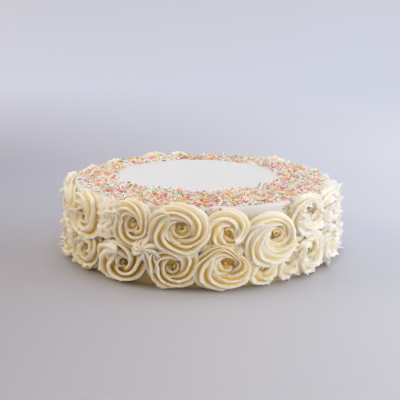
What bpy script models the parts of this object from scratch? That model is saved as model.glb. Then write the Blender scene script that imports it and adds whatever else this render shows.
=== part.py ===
"""A round celebration cake: smooth white buttercream all over, two rows of piped
rosettes round its side, and a wide ring of sugar strands on its top.

Units are metres, +Z is up, and the origin is the middle of the flat underside.
The front of the cake faces -Y. An azimuth is counted from the front towards +X.
"""

import math
import random

import bmesh
import bpy
from mathutils import Matrix, Vector

MM = 0.001

# The cake itself
CAKE_RADIUS = 119 * MM
CAKE_HEIGHT = 68 * MM
CAKE_SIDES = 72
TOP_EDGE_ROUND = 3 * MM
TOP_EDGE_STEPS = 2
FOOT_EDGE_ROUND = 1 * MM

# The sugar strands lie between the cake's edge and a round of bare icing, which is off centre
BARE_RADIUS = 78 * MM
BARE_CENTRE = (-5 * MM, 12 * MM)
STRAND_EDGE_MARGIN = 5 * MM
STRAND_COUNT = 128
STRAND_SIDES = 6
STRAND_RADIUS = 0.65 * MM
STRAND_LENGTHS = (3.6 * MM, 5.4 * MM)
STRAND_SUNK = 0.15 * MM
GOLDEN_ANGLE = math.pi * (3 - math.sqrt(5))

# Every rosette is one turn of a rope of icing that a six-pointed nozzle has ridged
RIDGES = 6
ROPE_SHARE = 0.36
GROOVE_DEPTH = 0.34
FOOT_GROOVE_SHARE = 0.55
ROPE_RINGS = 7
ROPE_FLATTENING = 0.5
ROPE_RISE = 1.07
OUTLINE_SWELL = 1.09
SWIRL = math.radians(240)
SPIRAL_GROWTH = 0.13
HOLLOW_FLOOR = 0.42
BACK_GAP = 0.3 * MM
NEIGHBOUR_GAP = 0.6 * MM
FOOT_GAP = 0.6 * MM

# Rosettes that can be seen: azimuth in degrees, then height of the middle, half width and
# half height in mm, and the angle in degrees at which the rope was pulled off
TOP_ROW_FRONT = (
    (-53.0, 50.5, 21.5, 20.0, 160),
    (-27.2, 53.0, 17.5, 19.0, 140),
    (-8.0, 50.5, 24.5, 20.5, 112),
    (10.0, 50.0, 17.5, 16.5, -65),
    (26.0, 40.5, 23.5, 21.5, 88),
    (46.5, 56.0, 20.0, 17.0, 100),
)
TOP_ROW_BACK = (
    (192.5, 56.5, 13.0, 15.5, 90),
    (206.0, 52.0, 20.0, 19.0, 60),
)
LOW_ROW_FRONT = (
    (-53.5, 19.0, 21.0, 18.0, 120),
    (-32.5, 18.5, 23.5, 18.5, 85),
    (-10.5, 19.0, 20.5, 18.0, 132),
    (8.2, 19.5, 24.5, 19.0, 92),
    (24.5, 12.5, 14.0, 12.0, 60),
    (35.0, 14.5, 13.0, 13.0, 20),
    (47.5, 19.5, 19.0, 18.5, 140),
)

# Between those, each row runs on evenly, with the small differences of hand piping
TOP_ROW_HEIGHT = 50 * MM
LOW_ROW_HEIGHT = 19.5 * MM
REST_SPACING = math.radians(18.6)
REST_HALF_WIDTH = 21.5 * MM
REST_HALF_HEIGHT = 19 * MM
REST_PULL_OFF = 145
PIPING_SEED = 11
STRAND_SEED = 5

# Small stars fill holes between the rosettes: azimuth in degrees, then height and radius in mm
STARS = (
    (-39.5, 57.0, 8.5),
    (-40.5, 43.0, 7.0),
    (-20.5, 34.0, 6.5),
    (1.5, 36.5, 5.0),
    (14.5, 33.5, 5.0),
    (65.0, 35.5, 6.5),
    (103.0, 35.0, 6.0),
    (160.0, 35.5, 6.5),
    (216.0, 35.0, 6.0),
    (272.0, 35.5, 6.5),
)
STAR_RINGS = 4
STAR_SWIRL = 0.5
STAR_RISE = 1.05

ICING = (0.90, 0.87, 0.80)
PIPED_ICING = (0.93, 0.87, 0.72)
ICING_ROUGHNESS = 0.45


def material(name, colour, roughness):
    """A plain finish of one colour."""
    made = bpy.data.materials.new(name)
    made.use_nodes = True
    shader = made.node_tree.nodes["Principled BSDF"]
    shader.inputs["Base Color"].default_value = (*colour, 1.0)
    shader.inputs["Roughness"].default_value = roughness
    shader.inputs["Metallic"].default_value = 0.0
    return made


def add_object(name, bm, collection, finish):
    """Turns a finished bmesh into a named object in the collection."""
    mesh = bpy.data.meshes.new(name)
    bm.to_mesh(mesh)
    bm.free()
    mesh.materials.append(finish)
    obj = bpy.data.objects.new(name, mesh)
    collection.objects.link(obj)
    return obj


def in_metres(seen):
    """A table's rows as azimuth, height, half width, half height and pull-off angle."""
    return [
        (math.radians(turn), rise * MM, wide * MM, tall * MM, math.radians(pull))
        for turn, rise, wide, tall, pull in seen
    ]


def run_between(start, end, height, rng):
    """Rosettes evenly between two azimuths, with the small differences of hand piping."""
    gaps = round((end - start) / REST_SPACING)
    placed = []
    for i in range(1, gaps):
        size = rng.uniform(0.94, 1.06)
        placed.append(
            (
                start + (end - start) * i / gaps + math.radians(rng.uniform(-1.2, 1.2)),
                height + rng.uniform(-1.5, 1.5) * MM,
                REST_HALF_WIDTH * size,
                REST_HALF_HEIGHT * size,
                math.radians(REST_PULL_OFF + rng.uniform(-35, 35)),
            )
        )
    return placed


def piped_layout():
    """Every rosette and star: name, azimuth, height, half width, half height and pull-off angle."""
    rng = random.Random(PIPING_SEED)
    full_turn = 2 * math.pi
    front, back = in_metres(TOP_ROW_FRONT), in_metres(TOP_ROW_BACK)
    top = front + run_between(front[-1][0], back[0][0], TOP_ROW_HEIGHT, rng)
    top += back + run_between(back[-1][0], front[0][0] + full_turn, TOP_ROW_HEIGHT, rng)
    front = in_metres(LOW_ROW_FRONT)
    low = front + run_between(front[-1][0], front[0][0] + full_turn, LOW_ROW_HEIGHT, rng)
    rosettes = [
        (f"rosette_{row}_{n + 1:02d}", *one)
        for row, placed in (("top", top), ("low", low))
        for n, one in enumerate(placed)
    ]
    stars = [
        (f"star_{n + 1:02d}", math.radians(turn), rise * MM, size * MM, size * MM, 0.0)
        for n, (turn, rise, size) in enumerate(STARS)
    ]
    return rosettes, stars


def bent_round_side(across, up, out):
    """A point of the unrolled side, wrapped round the cake, as seen from its own middle."""
    turn = across / CAKE_RADIUS
    reach = CAKE_RADIUS + out
    return Vector((reach * math.sin(turn), CAKE_RADIUS - reach * math.cos(turn), up))


def reach_towards(angle, half_width, half_height):
    """How far an oval of these half sizes reaches at this angle."""
    return half_width * half_height / math.hypot(half_height * math.cos(angle), half_width * math.sin(angle))


def room_limits(one, everyone):
    """The lines where this piece meets its neighbours, as (direction, distance)."""
    _, turn, height, wide, tall, _ = one
    limits = [(-math.pi / 2, height - FOOT_GAP)]
    for other in everyone:
        _, other_turn, other_height, other_wide, other_tall, _ = other
        across = CAKE_RADIUS * math.remainder(other_turn - turn, 2 * math.pi)
        up = other_height - height
        apart = math.hypot(across, up)
        if other is one or apart > 2.5 * (wide + other_wide):
            continue
        towards = math.atan2(up, across)
        own = reach_towards(towards, wide, tall)
        theirs = reach_towards(towards, other_wide, other_tall)
        meet = (apart**2 + own**2 - theirs**2) / (2 * apart)
        meet = min(max(meet, 0.3 * apart), 0.7 * apart)
        limits.append((towards, meet - NEIGHBOUR_GAP / 2))
    return limits


def within_room(angle, reach, limits):
    """The reach at this angle, held back at the lines where the neighbours begin."""
    for towards, distance in limits:
        facing = math.cos(angle - towards)
        if facing > 0.05:
            reach = min(reach, distance / facing)
    return reach


def warped_ball(rings, shape):
    """A closed skin: a ball of RIDGES crests and grooves whose points go where shape says."""
    bm = bmesh.new()
    spokes = 2 * RIDGES
    bmesh.ops.create_uvsphere(bm, u_segments=spokes, v_segments=rings + 1, radius=1.0)
    for vert in bm.verts:
        around = math.atan2(vert.co.y, vert.co.x)
        spoke = round(around / (2 * math.pi) * spokes)
        ring = round((math.pi - math.acos(max(-1.0, min(1.0, vert.co.z)))) / math.pi * (rings + 1))
        vert.co = shape(2 * math.pi * spoke / spokes, spoke % 2 == 1, ring)
    return bm


def back_middle(half_width):
    """How far a piece's back stands off in its middle, so that its flat facets clear the curved side."""
    return bent_round_side(0.0, 0.0, BACK_GAP + half_width**2 / (4 * CAKE_RADIUS))


def rosette(one, everyone):
    """One turn of ridged rope round a hollow. The ridges drift inwards as the rope goes round."""
    _, _, _, wide, tall, pull_off = one
    limits = room_limits(one, everyone)
    rings = ROPE_RINGS + 1

    def shape(spoke_angle, groove, ring):
        if ring == 0:
            return back_middle(wide)
        if ring == rings + 1:
            return bent_round_side(0.0, 0.0, HOLLOW_FLOOR * ROPE_SHARE * tall)
        over = math.pi * max(0, ring - 2) / (ROPE_RINGS - 1)
        angle = spoke_angle - SWIRL * over / math.pi
        grown = SPIRAL_GROWTH * ((pull_off - angle) / (2 * math.pi) % 1.0)
        full = OUTLINE_SWELL * reach_towards(angle, wide, tall) * (1 - grown)
        depth = GROOVE_DEPTH * (FOOT_GROOVE_SHARE if ring < 3 else 1)
        rope = ROPE_SHARE * full * (1 - depth * groove)
        centre = (1 - ROPE_SHARE) * full
        reach = within_room(angle, centre + rope * math.cos(over), limits)
        out = ROPE_SHARE * tall * ROPE_FLATTENING + ROPE_RISE * rope * math.sin(over)
        if ring == 1:
            out = BACK_GAP
        return bent_round_side(reach * math.cos(angle), reach * math.sin(angle), out)

    return warped_ball(rings, shape)


def star(one, everyone):
    """A small pointed star of icing, pressed out on one spot."""
    _, _, _, wide, tall, _ = one
    limits = room_limits(one, everyone)
    rings = STAR_RINGS + 1

    def shape(spoke_angle, groove, ring):
        if ring == 0:
            return back_middle(wide)
        if ring == rings + 1:
            return bent_round_side(0.0, 0.0, STAR_RISE * wide)
        over = math.pi / 2 * max(0, ring - 2) / STAR_RINGS
        angle = spoke_angle - STAR_SWIRL * over
        full = reach_towards(angle, wide, tall) * (1 - GROOVE_DEPTH * groove)
        reach = within_room(angle, full, limits) * math.cos(over)
        out = 0.2 * wide + 0.8 * STAR_RISE * wide * math.sin(over)
        if ring == 1:
            out = BACK_GAP
        return bent_round_side(reach * math.cos(angle), reach * math.sin(angle), out)

    return warped_ball(rings, shape)


def cake_body(collection, finish):
    """The iced cake: a drum with a softly rounded top edge."""
    bm = bmesh.new()
    bmesh.ops.create_cone(
        bm,
        cap_ends=True,
        segments=CAKE_SIDES,
        radius1=CAKE_RADIUS,
        radius2=CAKE_RADIUS,
        depth=CAKE_HEIGHT,
        matrix=Matrix.Translation((0, 0, CAKE_HEIGHT / 2)),
    )
    for level, size, steps in (
        (CAKE_HEIGHT, TOP_EDGE_ROUND, TOP_EDGE_STEPS),
        (0.0, FOOT_EDGE_ROUND, 1),
    ):
        rim = [e for e in bm.edges if all(abs(v.co.z - level) < 1e-6 for v in e.verts)]
        bmesh.ops.bevel(
            bm, geom=rim, offset=size, segments=steps, profile=0.5, affect="EDGES"
        )
    return add_object("cake_body", bm, collection, finish)


def strand_places():
    """Evenly spread places in the ring of strands, by the sunflower rule."""
    outer = CAKE_RADIUS - STRAND_EDGE_MARGIN
    tries = round(STRAND_COUNT / (1 - (BARE_RADIUS / outer) ** 2))
    places = []
    for n in range(tries):
        reach = outer * math.sqrt((n + 0.5) / tries)
        spot = Vector((reach * math.cos(n * GOLDEN_ANGLE), reach * math.sin(n * GOLDEN_ANGLE)))
        if (spot - Vector(BARE_CENTRE)).length > BARE_RADIUS:
            places.append(spot)
    return places


def fuse_strands(body, finish):
    """Lays the largest sugar strands on the top and joins them to the icing under them."""
    rng = random.Random(STRAND_SEED)
    strands = bpy.data.collections.new("sugar_strands")
    bpy.context.scene.collection.children.link(strands)
    level = CAKE_HEIGHT + STRAND_RADIUS - STRAND_SUNK
    for n, spot in enumerate(strand_places()):
        bm = bmesh.new()
        turn = Matrix.Rotation(rng.uniform(0, math.pi), 4, "Z") @ Matrix.Rotation(math.pi / 2, 4, "Y")
        bmesh.ops.create_cone(
            bm,
            cap_ends=True,
            segments=STRAND_SIDES,
            radius1=STRAND_RADIUS,
            radius2=STRAND_RADIUS,
            depth=rng.uniform(*STRAND_LENGTHS),
            matrix=Matrix.Translation((spot.x, spot.y, level)) @ turn,
        )
        add_object(f"strand_{n:03d}", bm, strands, finish)
    union = body.modifiers.new("fuse_strands", "BOOLEAN")
    union.operation = "UNION"
    union.operand_type = "COLLECTION"
    union.collection = strands
    union.solver = "EXACT"
    with bpy.context.temp_override(object=body, active_object=body):
        bpy.ops.object.modifier_apply(modifier=union.name)
    for obj in list(strands.objects):
        bpy.data.objects.remove(obj)
    bpy.data.collections.remove(strands)


def main():
    for obj in list(bpy.data.objects):
        bpy.data.objects.remove(obj)
    cake = bpy.data.collections.new("rosette_cake")
    bpy.context.scene.collection.children.link(cake)
    smooth_icing = material("smooth_icing", ICING, ICING_ROUGHNESS)
    piped_icing = material("piped_icing", PIPED_ICING, ICING_ROUGHNESS)

    body = cake_body(cake, smooth_icing)
    fuse_strands(body, smooth_icing)

    rosettes, stars = piped_layout()
    everyone = rosettes + stars
    for one in everyone:
        make = star if one in stars else rosette
        piece = add_object(one[0], make(one, everyone), cake, piped_icing)
        turn, height = one[1], one[2]
        piece.location = (CAKE_RADIUS * math.sin(turn), -CAKE_RADIUS * math.cos(turn), height)
        piece.rotation_euler.z = turn
        piece.data.shade_smooth()


main()
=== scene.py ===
import math
import random

import bmesh
import bpy
import numpy as np
from mathutils import Matrix, Vector, noise


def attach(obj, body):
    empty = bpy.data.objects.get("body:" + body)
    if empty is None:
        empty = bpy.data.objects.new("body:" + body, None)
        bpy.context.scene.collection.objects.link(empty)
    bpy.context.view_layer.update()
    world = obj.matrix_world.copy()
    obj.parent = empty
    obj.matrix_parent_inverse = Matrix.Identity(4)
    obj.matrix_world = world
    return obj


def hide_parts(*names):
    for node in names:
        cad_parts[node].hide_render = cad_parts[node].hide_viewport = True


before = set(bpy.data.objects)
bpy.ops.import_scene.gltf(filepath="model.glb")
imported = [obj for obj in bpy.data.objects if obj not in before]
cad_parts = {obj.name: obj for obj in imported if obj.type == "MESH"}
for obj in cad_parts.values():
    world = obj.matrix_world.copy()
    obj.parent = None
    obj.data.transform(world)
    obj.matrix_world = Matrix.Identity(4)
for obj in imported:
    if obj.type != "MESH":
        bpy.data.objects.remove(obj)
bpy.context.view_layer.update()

# The cake stands on a pale floor that sweeps up into a pale wall. A large window gives soft
# light from the right and a little from behind, and the room fills in the rest.

# The camera: its lens in mm, its place in metres, and its dip and roll in degrees
LENS = 63.66
CAMERA_PLACE = (-0.0014, -0.6588, 0.2040)
CAMERA_DIP = 13.56
CAMERA_ROLL = 0.5

# The spot that all lights look at, in metres
LIGHTS_AIM = Vector((0, 0, 0.04))

# The backdrop, in metres: a floor, a quarter round sweep and a wall
FLOOR_HALF_WIDTH = 3.0
FLOOR_FRONT = -1.6
SWEEP_START = 0.35
SWEEP_RADIUS = 0.35
SWEEP_STEPS = 24
WALL_TOP = 2.6

scene = bpy.context.scene
scene.view_settings.view_transform = "Standard"
scene.view_settings.look = "None"
scene.cycles.use_denoising = True
scene.cycles.max_bounces = 12
scene.cycles.diffuse_bounces = 6

camera = bpy.data.objects.new("camera", bpy.data.cameras.new("camera"))
camera.data.sensor_width = 36.0
camera.data.lens = LENS
camera.matrix_world = (
    Matrix.Translation(CAMERA_PLACE)
    @ Matrix.Rotation(math.radians(90 - CAMERA_DIP), 4, "X")
    @ Matrix.Rotation(math.radians(CAMERA_ROLL), 4, "Z")
)
scene.collection.objects.link(camera)
scene.camera = camera


def soft_light(name, place, size, power, colour):
    """A square light that looks at the cake."""
    lamp = bpy.data.lights.new(name, "AREA")
    lamp.shape = "SQUARE"
    lamp.size = size
    lamp.energy = power
    lamp.color = colour
    holder = bpy.data.objects.new(name, lamp)
    holder.location = place
    towards = LIGHTS_AIM - Vector(place)
    holder.rotation_euler = towards.to_track_quat("-Z", "Y").to_euler()
    scene.collection.objects.link(holder)


soft_light("window", (2.3, -0.4, 1.4), 2.6, 15.0, (0.85, 1.0, 1.08))
soft_light("low_window", (1.45, -0.78, 0.33), 1.0, 12.0, (1.0, 1.0, 1.08))
soft_light("back_window", (1.7, 1.1, 1.4), 1.8, 23.0, (0.95, 1.0, 0.90))
soft_light("skylight", (0.0, 0.2, 1.9), 1.6, 15.3, (0.95, 1.0, 1.18))
soft_light("room_fill", (0.0, -2.2, 1.1), 2.0, 18.7, (1.0, 0.76, 0.40))
soft_light("left_fill", (-1.6, 0.0, 0.9), 1.6, 17.5, (1.08, 0.97, 0.76))

world = bpy.data.worlds.new("room")
world.use_nodes = True
glow = world.node_tree.nodes["Background"]
glow.inputs["Color"].default_value = (0.86, 0.90, 1.0, 1.0)
glow.inputs["Strength"].default_value = 0.02
scene.world = world


class Wire:
    """A value on its way through a material's nodes. Sums on it add the nodes they need."""

    def __init__(self, tree, socket=None):
        self.tree, self.socket = tree, socket

    def add(self, kind, settings, values, output=0):
        """One more node, with its settings first and then what goes into its sockets."""
        node = self.tree.nodes.new(kind)
        for name, setting in settings.items():
            setattr(node, name, setting)
        for key, value in values.items():
            if isinstance(value, Wire):
                self.tree.links.new(value.socket, node.inputs[key])
            else:
                node.inputs[key].default_value = value
        return Wire(self.tree, node.outputs[output])

    def maths(self, operation, *values):
        """One step of arithmetic on plain numbers."""
        return self.add("ShaderNodeMath", {"operation": operation}, dict(enumerate(values)))

    def __add__(self, other):
        return self.maths("ADD", self, other)

    def __mul__(self, other):
        return self.maths("MULTIPLY", self, other)

    __radd__, __rmul__ = __add__, __mul__

    def blend(self, low, high):
        """The colour low where this value is 0 and high where it is 1."""
        sockets = {"Factor": self, "A": low, "B": high}
        return self.add("ShaderNodeMix", {"data_type": "RGBA"}, sockets, "Result")

    def place(self):
        """Where each point is, from the middle of the cake's foot."""
        return self.add("ShaderNodeTexCoord", {}, {}, "Object")

    def own(self, attribute):
        """What the piece itself carries under this name, point by point."""
        return self.add("ShaderNodeAttribute", {"attribute_name": attribute}, {}, "Fac")

    def along(self, axis):
        """One coordinate of this place."""
        return self.add("ShaderNodeSeparateXYZ", {}, {"Vector": self}, axis)

    def mottle(self, scale, detail):
        """Soft noise over this place, with about this many blotches to the metre."""
        sockets = {"Vector": self, "Scale": scale, "Detail": detail}
        return self.add("ShaderNodeTexNoise", {}, sockets, "Fac")

    def bump(self, strength, height):
        """The slope of the surface where this value is its relief, at most this high."""
        sockets = {"Height": self, "Strength": strength, "Distance": height}
        return self.add("ShaderNodeBump", {}, sockets)

    def rise(self, low, high, curve="LINEAR"):
        """0 where this value is low, 1 where it is high, and between them on the way."""
        sockets = {"Value": self, "From Min": low, "From Max": high}
        return self.add("ShaderNodeMapRange", {"interpolation_type": curve}, sockets)


def new_finish(name):
    """A material, its shader, and a loose end to build its nodes from."""
    finish = bpy.data.materials.new(name)
    finish.use_nodes = True
    return finish, finish.node_tree.nodes["Principled BSDF"], Wire(finish.node_tree)


def connect(shader, **wires):
    """Leads finished values to the shader's sockets."""
    for name, wire in wires.items():
        wire.tree.links.new(wire.socket, shader.inputs[name.replace("_", " ")])


paper, shader, start = new_finish("backdrop_paper")
place = start.place()
rightwards = place.along("X").rise(-0.30, 0.35)
backwards = place.along("Y").rise(-0.10, 0.15)
up_the_wall = place.along("Z").rise(0.0, 0.10)
# The floor is painted darker towards the front left: a painted shadow.
shaded_left_floor = backwards.blend((0.34, 0.31, 0.34, 1), (0.41, 0.41, 0.48, 1))
floor_colour = rightwards.blend(shaded_left_floor, (0.74, 0.77, 0.84, 1))
wall_colour = rightwards.blend((0.64, 0.68, 0.82, 1), (0.62, 0.66, 0.77, 1))
connect(shader, Base_Color=up_the_wall.blend(floor_colour, wall_colour))
shader.inputs["Roughness"].default_value = 0.9

bm = bmesh.new()
left_end = bm.verts.new((-FLOOR_HALF_WIDTH, FLOOR_FRONT, 0))
right_end = bm.verts.new((FLOOR_HALF_WIDTH, FLOOR_FRONT, 0))
front_edge = bm.edges.new((left_end, right_end))
floor_run = bmesh.ops.extrude_edge_only(bm, edges=[front_edge])["geom"]
bmesh.ops.translate(
    bm,
    vec=(0, SWEEP_START - FLOOR_FRONT, 0),
    verts=[part for part in floor_run if isinstance(part, bmesh.types.BMVert)],
)
sweep = bmesh.ops.spin(
    bm,
    geom=[part for part in floor_run if isinstance(part, bmesh.types.BMEdge)],
    cent=(0, SWEEP_START, SWEEP_RADIUS),
    axis=(1, 0, 0),
    angle=math.pi / 2,
    steps=SWEEP_STEPS,
)
wall_run = bmesh.ops.extrude_edge_only(
    bm, edges=[part for part in sweep["geom_last"] if isinstance(part, bmesh.types.BMEdge)]
)["geom"]
bmesh.ops.translate(
    bm,
    vec=(0, 0, WALL_TOP),
    verts=[part for part in wall_run if isinstance(part, bmesh.types.BMVert)],
)
backdrop_mesh = bpy.data.meshes.new("backdrop")
bm.to_mesh(backdrop_mesh)
bm.free()
backdrop_mesh.shade_smooth()
backdrop_mesh.materials.append(paper)
backdrop = bpy.data.objects.new("backdrop", backdrop_mesh)
scene.collection.objects.link(backdrop)


# The cake is a round layer cake under one smooth coat of white buttercream, drawn level with
# a scraper, which leaves a crisp edge at the top and faint sweeps round the side.
MM = 0.001
CAKE_RADIUS = 119 * MM
CAKE_HEIGHT = 68 * MM
TOP_EDGE_ROUND = 2.6 * MM

# Rings of the coat's outline: heights up the side and reaches over the top, in mm
SIDE_RINGS = (1, 12, 24, 36, 48, 58)
TOP_RINGS = (105, 90, 75, 60, 45, 30, 15, 0)
EDGE_RINGS = 6
COAT_STEPS = 288

# The scraper's faint waves: how deep they are, and how closely they follow each other
SIDE_WAVES = 0.35 * MM
TOP_WAVES = 0.22 * MM
LONG_WAVES = 14.0
SHORT_WAVES = 41.0


def cream_sheen(shader, roughness):
    """What all buttercream here shares: it is soft, lets a little light in, and shines faintly."""
    shader.inputs["Roughness"].default_value = roughness
    shader.inputs["IOR"].default_value = 1.45
    shader.inputs["Specular IOR Level"].default_value = 0.4
    shader.inputs["Subsurface Weight"].default_value = 0.25
    shader.inputs["Subsurface Radius"].default_value = (1.0, 0.72, 0.4)
    shader.inputs["Subsurface Scale"].default_value = 0.0025


smooth_icing, shader, start = new_finish("smooth_icing")
place = start.place()
level_sweeps = start.add("ShaderNodeMapping", {}, {"Vector": place, "Scale": (1.0, 1.0, 5.0)})
relief = level_sweeps.mottle(38.0, 3.0) * 0.6 + place.mottle(900.0, 2.0) * 0.12
coat_colour = place.mottle(18.0, 2.0).blend((0.79, 0.79, 0.775, 1), (0.82, 0.82, 0.805, 1))
level = place.along("Z")
past_the_edge = level.rise(0.0668, 0.0630, "SMOOTHSTEP")
down_the_side = level.rise(0.060, 0.050, "SMOOTHSTEP")
near_the_foot = level.rise(0.020, 0.006, "SMOOTHSTEP")
painted_window_light = place.along("X").rise(0.02, 0.09)
# Below the top edge the side is painted a darker grey than the top: painted shade on the one white
# coat.
top_and_shaded_side = past_the_edge.blend(coat_colour, (0.74, 0.72, 0.70, 1))
# Lower down, the side is painted golden where it shows between the rosettes, a painted shade;
# darker near the foot, a painted shadow; and paler towards the window at +X, painted window light.
coat_gap_shade = near_the_foot.blend((0.88, 0.68, 0.17, 1), (0.58, 0.45, 0.24, 1))
coat_gap_shade = painted_window_light.blend(coat_gap_shade, (0.96, 0.86, 0.56, 1))
connect(
    shader,
    Base_Color=down_the_side.blend(top_and_shaded_side, coat_gap_shade),
    Normal=relief.bump(0.25, 0.0012),
)
cream_sheen(shader, 0.5)

bm = bmesh.new()
profile = [bm.verts.new((0, 0, 0)), bm.verts.new((CAKE_RADIUS - 1 * MM, 0, 0))]
profile += [bm.verts.new((CAKE_RADIUS, 0, ring * MM)) for ring in SIDE_RINGS]
for ring in range(EDGE_RINGS + 1):
    turn = math.pi / 2 * ring / EDGE_RINGS
    reach = CAKE_RADIUS - TOP_EDGE_ROUND * (1 - math.cos(turn))
    height = CAKE_HEIGHT - TOP_EDGE_ROUND * (1 - math.sin(turn))
    profile.append(bm.verts.new((reach, 0, height)))
profile += [bm.verts.new((ring * MM, 0, CAKE_HEIGHT)) for ring in TOP_RINGS]
for one, other in zip(profile, profile[1:]):
    bm.edges.new((one, other))
bmesh.ops.spin(
    bm,
    geom=bm.verts[:] + bm.edges[:],
    cent=(0, 0, 0),
    axis=(0, 0, 1),
    angle=2 * math.pi,
    steps=COAT_STEPS,
    use_merge=True,
)
bmesh.ops.remove_doubles(bm, verts=bm.verts, dist=0.01 * MM)
for vert in bm.verts:
    if vert.co.z > 2 * MM:
        drift = noise.noise(vert.co * LONG_WAVES) + 0.5 * noise.noise(vert.co * SHORT_WAVES)
        flat = Vector((vert.co.x, vert.co.y, 0))
        if flat.length > 0.97 * CAKE_RADIUS:
            vert.co += flat.normalized() * (SIDE_WAVES * drift)
        vert.co.z += TOP_WAVES * drift
bmesh.ops.recalc_face_normals(bm, faces=bm.faces)
coat_mesh = bpy.data.meshes.new("smooth_coat")
bm.to_mesh(coat_mesh)
bm.free()
coat_mesh.shade_smooth()
coat_mesh.materials.append(smooth_icing)
coat = bpy.data.objects.new("smooth_coat", coat_mesh)
scene.collection.objects.link(coat)
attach(coat, "root")
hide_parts("cake_body")


# Sugar strands in soft colours are shaken over the top round a paper disc, which is lifted off
# again and leaves a bare round. They lie as they fell, some on others, a few on the side.
BARE_RADIUS = 78.2 * MM
BARE_CENTRE = Vector((-5 * MM, 12 * MM))
EDGE_OF_THE_STREWN = 117.5 * MM

# One strand's size, with its length in mm, and how it lies: on the icing or on other strands,
# at which height of its middle, and how far it leans, in degrees
STRAND_RADIUS = 0.60 * MM
STRAND_LENGTHS = (2.6, 4.6)
STRAY_LENGTHS = (2.2, 3.6)
FLAT_SHARE = 0.6
FLAT_LEVEL, UPPER_LEVEL = 0.30 * MM, 0.95 * MM
FLAT_LEAN, UPPER_LEAN = 5.0, 20.0

# How thickly the strands lie at the front, what is lost of that elsewhere, and how their
# colours drift
FULL_COVER = 0.95
LOST_TO_THE_LEFT, LOST_TO_THE_RIGHT, LOST_TO_THE_BACK = 0.45, 0.38, 0.40
COLOUR_DRIFTS, COLOUR_DRIFT_SCALE = 1.6, 70
# White strands lie thicker towards the sides; the steeper rise to the right is painted window
# light.
WHITER_RIGHT, WHITER_LEFT = 2.4, 1.2
STRAND_TRIES = 12500
STRAND_SEED = 21

# Each colour's share of the strands, and its darkest and lightest shade
STRAND_COLOURS = {
    "orange": (0.17, (0.90, 0.36, 0.08, 1), (0.98, 0.66, 0.40, 1)),
    "yellow": (0.16, (0.93, 0.64, 0.10, 1), (0.98, 0.88, 0.50, 1)),
    "pink": (0.16, (0.86, 0.30, 0.36, 1), (0.98, 0.70, 0.72, 1)),
    "red": (0.06, (0.72, 0.07, 0.09, 1), (0.86, 0.22, 0.22, 1)),
    "green": (0.08, (0.20, 0.48, 0.22, 1), (0.50, 0.76, 0.46, 1)),
    "white": (0.33, (0.95, 0.94, 0.93, 1), (0.99, 0.98, 0.97, 1)),
    "lilac": (0.04, (0.58, 0.46, 0.68, 1), (0.82, 0.74, 0.88, 1)),
}

bm = bmesh.new()
bmesh.ops.create_cone(bm, cap_ends=True, segments=6, radius1=1.0, radius2=1.0, depth=2.0)
bmesh.ops.bevel(
    bm,
    geom=[edge for edge in bm.edges if abs(edge.verts[0].co.z - edge.verts[1].co.z) < 0.1],
    offset=0.3,
    segments=1,
    profile=0.5,
    material=-1,
    affect="EDGES",
)
bmesh.ops.triangulate(bm, faces=bm.faces)
one_strand = bpy.data.meshes.new("one_strand")
bm.to_mesh(one_strand)
bm.free()


def strand_cover(spot, draw):
    """How likely a strand is to lie at this spot of the top: thickly at the front and right."""
    sideways = spot.x / CAKE_RADIUS
    if spot.length > EDGE_OF_THE_STREWN - 4 * MM * max(0.0, -sideways - 0.4):
        return 0.0
    inside = BARE_RADIUS - (spot - BARE_CENTRE).length
    if inside > draw.expovariate(1.0) * 0.9 * MM:
        return 0.0
    backwards = max(0.0, spot.y / CAKE_RADIUS)
    lost_sideways = LOST_TO_THE_LEFT if sideways < 0 else LOST_TO_THE_RIGHT
    return FULL_COVER - lost_sideways * abs(sideways) - LOST_TO_THE_BACK * backwards


def local_shares(spot):
    """Each colour's share at this spot: colours lie in drifts, white ones nearer the sides, and
    more to the right as painted window light.
    """
    shares = {}
    for k, (name, (share, _, _)) in enumerate(STRAND_COLOURS.items()):
        drift = noise.noise(Vector((*spot, 0.02 * k)) * COLOUR_DRIFT_SCALE)
        shares[name] = share * math.exp(COLOUR_DRIFTS * drift)
        if name == "white":
            shares[name] *= 1 + max(WHITER_RIGHT * spot.x, -WHITER_LEFT * spot.x) / CAKE_RADIUS
    return shares


rng = random.Random(STRAND_SEED)
placed_strands = {name: [] for name in STRAND_COLOURS}
for _ in range(STRAND_TRIES):
    reach = CAKE_RADIUS * math.sqrt(rng.random())
    turn = rng.uniform(0, 2 * math.pi)
    spot = Vector((reach * math.cos(turn), reach * math.sin(turn)))
    cover = strand_cover(spot, rng)
    shares = local_shares(spot)
    name = rng.choices(list(shares), list(shares.values()))[0]
    length = rng.uniform(*STRAND_LENGTHS) * MM
    flat = rng.random() < FLAT_SHARE
    lean = math.radians(rng.gauss(0, FLAT_LEAN if flat else UPPER_LEAN))
    spin = rng.uniform(0, math.pi)
    if rng.random() > cover:
        continue
    level = CAKE_HEIGHT + (FLAT_LEVEL if flat else UPPER_LEVEL) + abs(math.sin(lean)) * length / 2
    way = Matrix.Rotation(spin, 3, "Z") @ Matrix.Rotation(math.pi / 2 + lean, 3, "Y")
    placed_strands[name].append((way, Vector((spot.x, spot.y, level)), length, rng.random()))

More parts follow.
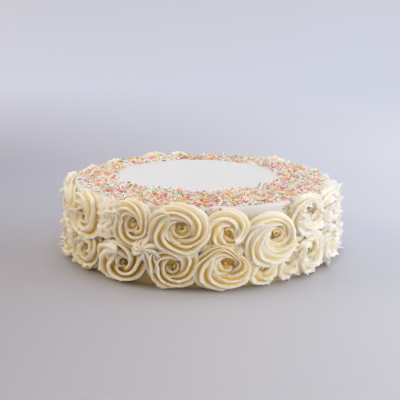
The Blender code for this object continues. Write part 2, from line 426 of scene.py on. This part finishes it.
# Strays on the bare side between the rosettes: azimuth in degrees, height in mm and colour
for azimuth, height, name in (
    (1.7, 63.6, "green"), (6.6, 63.4, "orange"), (7.1, 61.6, "red"), (7.6, 64.6, "orange"),
    (7.2, 66.2, "red"), (14.0, 64.0, "green"), (16.0, 60.6, "lilac"), (18.7, 59.5, "green"),
    (-1.0, 65.8, "yellow"), (3.5, 66.0, "pink"), (11.0, 65.8, "orange"), (34.5, 62.0, "pink"),
    (36.0, 58.0, "yellow"), (35.5, 64.0, "orange"), (37.0, 61.0, "green"), (35.0, 54.0, "yellow"),
):
    turn = math.radians(azimuth)
    way = Matrix.Rotation(turn, 3, "Z") @ Matrix.Rotation(rng.uniform(0, math.pi), 3, "Y")
    spot = Vector((math.sin(turn), -math.cos(turn), 0)) * (CAKE_RADIUS + 0.25 * MM)
    spot.z = height * MM
    placed_strands[name].append((way, spot, rng.uniform(*STRAY_LENGTHS) * MM, rng.random()))

for name, (_, dark, light) in STRAND_COLOURS.items():
    sugar, shader, start = new_finish(f"{name}_sugar")
    connect(shader, Base_Color=start.own("shade").blend(dark, light))
    shader.inputs["Roughness"].default_value = 0.35
    shader.inputs["Subsurface Weight"].default_value = 0.15
    shader.inputs["Subsurface Scale"].default_value = 0.001
    bm = bmesh.new()
    for way, spot, length, _ in placed_strands[name]:
        size = Vector((STRAND_RADIUS, STRAND_RADIUS, length / 2))
        laid = one_strand.copy()
        laid.transform(Matrix.LocRotScale(spot, way, size))
        bm.from_mesh(laid)
        bpy.data.meshes.remove(laid)
    mesh = bpy.data.meshes.new(f"{name}_strands")
    bm.to_mesh(mesh)
    bm.free()
    own_shades = [own_shade for _, _, _, own_shade in placed_strands[name]]
    shades = mesh.attributes.new("shade", "FLOAT", "POINT")
    shades.data.foreach_set("value", np.repeat(own_shades, len(one_strand.vertices)))
    mesh.materials.append(sugar)
    mesh.shade_smooth()
    strands = bpy.data.objects.new(f"{name}_strands", mesh)
    scene.collection.objects.link(strands)
    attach(strands, "root")
bpy.data.meshes.remove(one_strand)


# Buttercream rosettes cover the side in two uneven rows. Each is one rope from an open star
# nozzle, piped clockwise from its middle, so that its ridges turn outwards the other way.
NOZZLE_RIDGES = 8
POINTS_PER_RIDGE = 11
ROPE_RINGS = 150
RIDGE_TURN = 0.70
GROOVE_DEPTH = 0.52
RIDGE_BREADTH = 1.7
SMEARING = 0.85
SMEARED_BREADTH = 0.85

# Relief as shares of the rope's thickness: on whole icing, and added where it tore
CRUMBS, TORN_CRUMBS = 0.008, 0.05
LUMPS, TORN_LUMPS = 0.02, 0.07
TORN_SPIKES = 0.30
LUMP_SMOOTHING = 12
FOOT_TEARS = 0.35

# The rope's run, as shares of its own thickness or of the rosette's size
ROPE_FULLNESS = 1.05
ROPE_UNEVENNESS = 0.05
PATH_UNEVENNESS = 0.03
START_THICKNESS, START_TURNS = 0.50, 0.25
TIP_THICKNESS = 0.06
INNER_THINNING, INNER_CLOSING, INNER_SINKING = 0.30, 0.90, 0.36
LAST_TURN_PRESSING = 0.10
TAIL_RISE = 0.15
ROSETTE_RISE = 0.57

# How far a rosette spreads, and how firmly its neighbours and the foot press it in
OUTLINE_SWELL = 1.08
FILLING_SWELL = 0.24
ROW_GAP_HEIGHT = 35 * MM
OVERLAP = 1.36
PRESSING = 10
FOOT_GAP = 0.5 * MM
SUNK_AT_MOST = 0.8 * MM

# Gaps and grooves are painted golden as painted shade: least up at the rim, paler towards
# the window as painted window light, and deepest in colour low at the front left
RIM_START, RIM_END = 50 * MM, 60 * MM
GAP_BEHIND = 4 * MM
PALING = 0.7
DEEPEST_AZIMUTH = -25.0
DEEP_BREADTH = 27.0
DEEPEST_HEIGHT = 18 * MM
DEEP_RISE = 36 * MM

# Rosettes that can be seen: azimuth in degrees, then height of the middle, half width and
# half height in mm, and the angle in degrees at which the rope was pulled off. Then come the
# rope's thickness as a share of the size, its turns, its tail's turns and drift, its tears, how
# far the hollow lies off the middle, across and up, and the rope's ridges
TOP_ROW_FRONT = (
    (-53.0, 50.5, 22.5, 20.0, 160, 0.38, 1.8, 0.20, -0.20, 0.45, -0.10, 0.00, 6),
    (-27.2, 53.0, 17.5, 19.0, 140, 0.38, 1.6, 0.18, 0.00, 0.08, 0.08, 0.00, 7),
    (-8.0, 50.5, 24.5, 20.5, 112, 0.37, 1.8, 0.18, 0.06, 0.05, 0.05, 0.08, 8),
    (10.0, 50.0, 17.5, 16.5, -65, 0.39, 1.6, 0.25, -0.20, 0.08, 0.00, -0.10, 6),
    (26.0, 40.5, 23.5, 21.5, 118, 0.35, 2.1, 0.18, -0.02, 0.06, 0.30, 0.14, 8),
    (46.5, 56.0, 20.0, 17.0, 100, 0.38, 1.7, 0.25, 0.10, 0.75, 0.00, 0.00, 6),
)
TOP_ROW_BACK = (
    (192.5, 56.5, 13.0, 15.5, 90, 0.40, 1.5, 0.20, 0.00, 0.40, 0.00, 0.00, 6),
    (206.0, 53.5, 21.0, 19.0, 60, 0.39, 1.7, 0.20, 0.00, 0.40, 0.00, 0.00, 6),
)
LOW_ROW_FRONT = (
    (-53.5, 19.0, 21.0, 18.0, 120, 0.37, 1.8, 0.20, 0.05, 0.90, 0.00, 0.00, 6),
    (-32.5, 18.5, 23.5, 18.5, 85, 0.40, 1.6, 0.30, -0.10, 0.08, 0.10, -0.05, 6),
    (-10.5, 19.0, 20.5, 18.0, 132, 0.36, 1.8, 0.20, 0.20, 0.20, -0.02, 0.02, 7),
    (8.2, 19.5, 24.5, 19.0, 92, 0.36, 1.7, 0.20, 0.22, 0.05, 0.12, 0.10, 8),
    (23.5, 14.0, 17.5, 14.5, 40, 0.50, 1.2, 0.30, 0.15, 0.10, 0.00, 0.00, 5),
    (35.5, 16.0, 15.0, 15.0, 20, 0.48, 1.2, 0.30, 0.20, 0.20, 0.00, 0.00, 5),
    (47.5, 19.5, 19.0, 18.5, 140, 0.38, 1.6, 0.25, 0.10, 0.70, 0.00, 0.00, 6),
)

# The rest of both rows, which can't be seen
TOP_ROW_HEIGHT = 50 * MM
LOW_ROW_HEIGHT = 19.5 * MM
REST_SPACING = math.radians(18.6)
REST_HALF_WIDTH = 21.5 * MM
REST_HALF_HEIGHT = 19 * MM
REST_PULL_OFF = 145
PIPING_SEED = 11

# The stars in the gaps between them: azimuth in degrees, height and half size in mm, and how
# far each is a torn ruffle
STARS = (
    (-37.0, 57.0, 10.0, 0.9),
    (-38.0, 44.5, 9.0, 0.9),
    (-20.5, 34.0, 10.0, 0.3),
    (1.5, 36.5, 5.0, 0.2),
    (14.5, 33.5, 5.0, 0.2),
    (65.0, 35.5, 6.5, 0.5),
    (103.0, 35.0, 6.0, 0.2),
    (160.0, 35.5, 6.5, 0.2),
    (216.0, 35.0, 6.0, 0.2),
    (272.0, 35.5, 6.5, 0.2),
)


def in_metres(seen):
    """A table's rows in metres and radians, each with how its rope was piped."""
    return [
        (math.radians(turn), rise * MM, wide * MM, tall * MM, math.radians(pull), piping)
        for turn, rise, wide, tall, pull, *piping in seen
    ]


def run_between(start, end, height, draw):
    """Rosettes evenly between two azimuths, with the small differences of hand piping."""
    gaps = round((end - start) / REST_SPACING)
    placed = []
    for i in range(1, gaps):
        size = draw.uniform(0.94, 1.06)
        placed.append(
            (
                start + (end - start) * i / gaps + math.radians(draw.uniform(-1.2, 1.2)),
                height + draw.uniform(-1.5, 1.5) * MM,
                REST_HALF_WIDTH * size,
                REST_HALF_HEIGHT * size,
                math.radians(REST_PULL_OFF + draw.uniform(-35, 35)),
                None,
            )
        )
    return placed


def piped_layout():
    """Every rosette and star: name, azimuth, height, half sizes, pull-off angle and piping."""
    draw = random.Random(PIPING_SEED)
    full_turn = 2 * math.pi
    front, back = in_metres(TOP_ROW_FRONT), in_metres(TOP_ROW_BACK)
    top = front + run_between(front[-1][0], back[0][0], TOP_ROW_HEIGHT, draw)
    top += back + run_between(back[-1][0], front[0][0] + full_turn, TOP_ROW_HEIGHT, draw)
    front = in_metres(LOW_ROW_FRONT)
    low = front + run_between(front[-1][0], front[0][0] + full_turn, LOW_ROW_HEIGHT, draw)
    rosettes = [
        (f"rosette_{row}_{n + 1:02d}", *one)
        for row, placed in (("top", top), ("low", low))
        for n, one in enumerate(placed)
    ]
    stars = [
        (f"star_{n + 1:02d}", math.radians(turn), rise * MM, size * MM, size * MM, 0.0, ruffled)
        for n, (turn, rise, size, ruffled) in enumerate(STARS)
    ]
    return rosettes, stars


def smoothly(value, low, high):
    """0 below low, 1 above high, and an easy rise between them."""
    t = np.clip((value - low) / (high - low), 0, 1)
    return t * t * (3 - 2 * t)


def reach_towards(angle, half_width, half_height):
    """How far an oval of these half sizes reaches at this angle."""
    across, up = half_height * np.cos(angle), half_width * np.sin(angle)
    return half_width * half_height / np.hypot(across, up)


def outline_swell(angle, height):
    """How much fuller than its oval a piece is: it spreads towards the gap between the rows."""
    to_the_gap = np.sin(angle) * (1 if height < ROW_GAP_HEIGHT else -1)
    return OUTLINE_SWELL + FILLING_SWELL * smoothly(to_the_gap, -0.1, 0.7)


def crowding(angle, one, everyone):
    """How much the neighbours and the foot press a piece in at these angles, 1 where they don't."""
    _, turn, height, wide, tall, _, _ = one
    own_reach = outline_swell(angle, height) * reach_towards(angle, wide, tall)
    limits = [(-math.pi / 2, height - FOOT_GAP, 1.0)]
    for other in everyone:
        _, other_turn, other_height, other_wide, other_tall, _, _ = other
        across = CAKE_RADIUS * math.remainder(other_turn - turn, 2 * math.pi)
        up = other_height - height
        apart = math.hypot(across, up)
        if other is one or apart > 2.5 * (wide + other_wide):
            continue
        towards = math.atan2(up, across)
        own = reach_towards(towards, wide, tall)
        theirs = reach_towards(towards, other_wide, other_tall)
        meet = (apart**2 + own**2 - theirs**2) / (2 * apart)
        limits.append((towards, min(max(meet, 0.3 * apart), 0.7 * apart), OVERLAP))
    pressed = np.ones_like(angle)
    for towards, distance, allowed in limits:
        facing = np.maximum(np.cos(angle - towards), 1e-3)
        pressed += (own_reach * facing / (distance * allowed)) ** PRESSING
    return pressed ** (-1 / PRESSING)


bm = bmesh.new()
bmesh.ops.create_circle(bm, cap_ends=False, segments=NOZZLE_RIDGES * POINTS_PER_RIDGE, radius=1.0)
bmesh.ops.spin(
    bm,
    geom=bm.edges[:],
    cent=(0, 0, 0),
    axis=(0, 0, 1),
    dvec=(0, 0, 1 / ROPE_RINGS),
    angle=0.0,
    steps=ROPE_RINGS,
)
bmesh.ops.holes_fill(bm, edges=[edge for edge in bm.edges if edge.is_boundary], sides=0)
bmesh.ops.recalc_face_normals(bm, faces=bm.faces)
straight_rope = bpy.data.meshes.new("straight_rope")
bm.to_mesh(straight_rope)
bm.free()
rope_points = np.empty(3 * len(straight_rope.vertices))
straight_rope.vertices.foreach_get("co", rope_points)
rope_points = rope_points.reshape(-1, 3)
ALONG = np.clip(rope_points[:, 2], 0, 1)
AROUND = np.arctan2(rope_points[:, 1], rope_points[:, 0])
ROPE_GRID = (ROPE_RINGS + 1, NOZZLE_RIDGES * POINTS_PER_RIDGE)
ON_GRID = (
    np.round(ALONG * ROPE_RINGS).astype(int),
    np.round(AROUND / (2 * math.pi) * ROPE_GRID[1]).astype(int) % ROPE_GRID[1],
)
straight_rope.shade_smooth()

piped_icing, shader, start = new_finish("piped_icing")
place = start.place()
# The piped icing's cream is its own soft mottle, painted paler towards the window at +X as painted
# window light. Its grooves, gaps and hollows are painted golden as painted shade, a deeper gold low
# at the front left.
painted_window_light = place.along("X").rise(0.06, 0.11)
cream = place.mottle(45.0, 2.0).blend((0.93, 0.89, 0.81, 1), (0.96, 0.93, 0.87, 1))
cream = painted_window_light.blend(cream, (0.99, 0.965, 0.915, 1))
gold_shade = start.own("shade_darkness").blend((0.94, 0.72, 0.16, 1), (0.42, 0.25, 0.0, 1))
gold_shade = painted_window_light.blend(gold_shade, (1.0, 0.80, 0.24, 1))
relief = place.mottle(260.0, 3.0) * 0.5 + place.mottle(1100.0, 2.0) * 0.2
connect(
    shader,
    Base_Color=start.own("painted_shade").blend(cream, gold_shade),
    Normal=relief.bump(0.3, 0.001),
)
cream_sheen(shader, 0.45)


def ridge_shape(phase, draw, tears, ridges):
    """The rope's outline: round crests with grooves between, and tears where the icing broke."""
    crest = np.abs(np.sin(ridges * (AROUND - phase) / 2))
    ridged = 1 - GROOVE_DEPTH * (1 - crest**RIDGE_BREADTH)
    crumbs = draw.normal(size=ROPE_GRID)
    crumbs = (crumbs + np.roll(crumbs, 1, axis=0) + np.roll(crumbs, 1, axis=1)) / 1.7
    lumps = draw.normal(size=ROPE_GRID)
    for _ in range(LUMP_SMOOTHING):
        lumps = (lumps + np.roll(lumps, 1, axis=0) + np.roll(lumps, -1, axis=0)) / 3
        lumps = (lumps + np.roll(lumps, 1, axis=1) + np.roll(lumps, -1, axis=1)) / 3
    lumps = (lumps / lumps.std())[ON_GRID]
    crumbs = crumbs[ON_GRID]
    spikes = np.clip(crumbs - 0.7, 0, 1.2) ** 1.5 * crest**2 * np.clip(0.6 + 0.5 * lumps, 0, 1.3)
    broken = (CRUMBS + TORN_CRUMBS * tears) * crumbs + (LUMPS + TORN_LUMPS * tears) * lumps
    broken = broken + TORN_SPIKES * tears * spikes
    return ridged + broken, 1 - crest**RIDGE_BREADTH


def add_piped(one, everyone, across, up, out, depth, hollow_shade):
    """Presses a piped shape in between its neighbours, bends it round the side, paints shade into
    its colour, and adds it.
    """
    name, turn, height, wide, tall, _, _ = one
    angle = np.arctan2(up, across)
    pressed = crowding(angle, one, everyone)
    share = np.clip(np.hypot(across / wide, up / tall), 0, 1)
    pressed = 1 - (1 - pressed) * share**1.5
    across, up = across * pressed, up * pressed
    up = np.maximum(up, FOOT_GAP - height)
    out = np.maximum(out, -SUNK_AT_MOST)
    bearing = turn + across / CAKE_RADIUS
    reach = CAKE_RADIUS + out
    points = np.stack((reach * np.sin(bearing), -reach * np.cos(bearing), height + up), axis=1)
    mesh = straight_rope.copy()
    mesh.name = name
    mesh.vertices.foreach_set("co", points.ravel())
    # Painted shade: grooves, the gaps behind the rope and the hollows are marked for golden painted
    # shade, paled towards the window and at the rim, and deepest in colour low at the front left.
    azimuth = np.degrees(bearing + math.pi) % 360 - 180
    sideways = (azimuth - DEEPEST_AZIMUTH) / DEEP_BREADTH
    upwards = (height + up - DEEPEST_HEIGHT) / DEEP_RISE
    shade_darkness = np.exp(-(sideways**2) - upwards**2)
    at_the_rim = share * smoothly(height + up, RIM_START, RIM_END)
    painted_shade = smoothly(depth, 0.1, 1.0 - 0.3 * shade_darkness)
    painted_shade *= 1 - PALING * smoothly(np.sin(bearing), 0.15, 0.75)
    painted_shade *= 1 - 0.5 * at_the_rim
    gap_shade = smoothly(-out, -GAP_BEHIND, 0) * (1 - at_the_rim)
    painted_shade = np.clip(painted_shade + gap_shade + hollow_shade, 0, 1)
    mesh.attributes.new("painted_shade", "FLOAT", "POINT").data.foreach_set("value", painted_shade)
    mesh.attributes.new("shade_darkness", "FLOAT", "POINT").data.foreach_set("value", shade_darkness)
    mesh.materials.append(piped_icing)
    mesh.update()
    piece = bpy.data.objects.new(f"piped_{name}", mesh)
    scene.collection.objects.link(piece)
    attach(piece, "root")
    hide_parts(name)


def pipe_rosette(one, everyone, number):
    """Sweeps the ridged rope along a spiral that ends in a pulled-off tail."""
    _, turn, height, wide, tall, pull_off, piping = one
    draw = np.random.default_rng(PIPING_SEED * 100 + number)
    # Values for a rosette that can't be seen, in the order of the tables
    guessed = (
        draw.uniform(0.36, 0.40), draw.uniform(1.55, 1.9), draw.uniform(0.15, 0.24),
        draw.uniform(-0.05, 0.15), draw.uniform(0.1, 0.3) + 0.6 * abs(math.sin(turn)) ** 3,
        draw.uniform(-0.1, 0.1), draw.uniform(-0.1, 0.1), draw.integers(6, 9),
    )
    rope, turns, tail, drift, tears, hollow_across, hollow_up, ridges = piping or guessed
    left = turns * (1 - ALONG)
    heading = pull_off + 2 * math.pi * left
    wobble = draw.uniform(0, 2 * math.pi, 4)
    ending = 1 - smoothly(left, 0, tail)
    inwards = smoothly(left, 1.0, turns)
    under_the_end = smoothly(left, 0.55, 1.0)
    rounding = np.sqrt(1 - (1 - np.clip(left / tail, 0, 1)) ** 2)
    from_the_start = np.sqrt(np.clip((turns - left) / START_TURNS, 0, 1))
    thick = rope * (1 + ROPE_UNEVENNESS * np.sin(heading * 0.9 + wobble[0]))
    thick *= 1 - INNER_THINNING * inwards
    thick *= TIP_THICKNESS + (1 - TIP_THICKNESS) * rounding
    thick *= START_THICKNESS + (1 - START_THICKNESS) * from_the_start
    pressed_in = LAST_TURN_PRESSING * under_the_end
    path = (1 - rope) * (1 + PATH_UNEVENNESS * np.sin(2 * heading + wobble[1]) - pressed_in)
    path *= 1 - INNER_CLOSING * inwards
    path += drift * ending
    at_the_foot = smoothly(-np.sin(heading), 0.2, 0.9) * (height < ROW_GAP_HEIGHT)
    tears = tears + FOOT_TEARS * at_the_foot
    phase = wobble[2] - RIDGE_TURN * 2 * math.pi * left
    body, depth = ridge_shape(phase, draw, tears, ridges)
    if drift < 0:
        smeared = SMEARING * ending
        body, depth = body + smeared * (SMEARED_BREADTH - body), depth * (1 - smeared)
    crown = ROSETTE_RISE * (1 - pressed_in - INNER_SINKING * inwards) + TAIL_RISE * ending**3
    middle = crown - ROPE_FULLNESS * thick
    radius = (wide + tall) / 2
    swollen = path + thick * body * np.cos(AROUND)
    flare = swollen * outline_swell(heading, height)
    out = radius * (middle + ROPE_FULLNESS * thick * body * np.sin(AROUND))
    off_middle = 1 - smoothly(swollen, 0.1, 1)
    across = wide * (flare * np.cos(heading) + hollow_across * off_middle)
    up = tall * (flare * np.sin(heading) + hollow_up * off_middle)
    # The inner turns of the rope are painted golden as painted shade in the hollow.
    add_piped(one, everyone, across, up, out, depth, 0.25 * inwards)


rosettes, stars = piped_layout()
for number, one in enumerate(rosettes):
    pipe_rosette(one, rosettes + stars, number)


# Small stars fill the gaps that the rosettes leave. Each is the same buttercream, pressed
# straight out of the same nozzle and let go, and some were torn into ruffles as it lifted.
STAR_FULLNESS = 1.7
STAR_TWIST = 1.5
RUFFLE_LUMP = 4.5 * MM
RUFFLE_BREADTH = 0.72
RUFFLE_SWELL, FINE_SWELL = 0.60, 0.25
RUFFLE_LIFT, FINE_LIFT = 0.40, 0.06
RUFFLE_SHORTENING = 0.25


def ruffles(place, size):
    """Smooth noise at each point, with lumps of this size."""
    return np.array([noise.noise(Vector(point)) for point in place / size])


def press_star(one, everyone, number):
    """Presses the ridged rope straight out into a small pointed star."""
    _, _, _, wide, tall, _, ruffled = one
    draw = np.random.default_rng(PIPING_SEED * 900 + number)
    rise = np.minimum(ALONG * 1.02, 1)
    swell = np.sqrt(np.clip(1 - rise**1.6, 0.003, 1)) * (0.75 + 0.25 * smoothly(rise, 0, 0.15))
    phase, tears = STAR_TWIST * rise + draw.uniform(0, 6), 0.5 * (1 - ruffled)
    body, depth = ridge_shape(phase, draw, tears, NOZZLE_RIDGES)
    body = body * (1 - ruffled) + RUFFLE_BREADTH * ruffled
    across = STAR_FULLNESS * wide * swell * body * np.cos(AROUND)
    up = STAR_FULLNESS * tall * swell * body * np.sin(AROUND)
    out = STAR_FULLNESS * wide * rise - 0.5 * MM
    place = np.stack((across, up, out), axis=1)
    lumps = ruffles(place, RUFFLE_LUMP)
    finer = ruffles(place, 0.4 * RUFFLE_LUMP)
    swollen = 1 + ruffled * (RUFFLE_SWELL * lumps + FINE_SWELL * finer)
    lifted = ruffled * RUFFLE_LUMP * (RUFFLE_LIFT * lumps + FINE_LIFT * finer)
    across, up = across * swollen, up * swollen
    out = out * (1 - RUFFLE_SHORTENING * ruffled) + lifted
    # Ruffles are painted golden in their low spots as painted shade, and stars carry less painted
    # shade than rosettes.
    depth = depth * (1 - ruffled) + ruffled * np.clip(0.25 - 1.6 * (lumps + 0.5 * finer), 0, 1)
    add_piped(one, everyone, across, up, out, depth, -0.3)


for number, one in enumerate(stars):
    press_star(one, rosettes + stars, number)
bpy.data.meshes.remove(straight_rope)
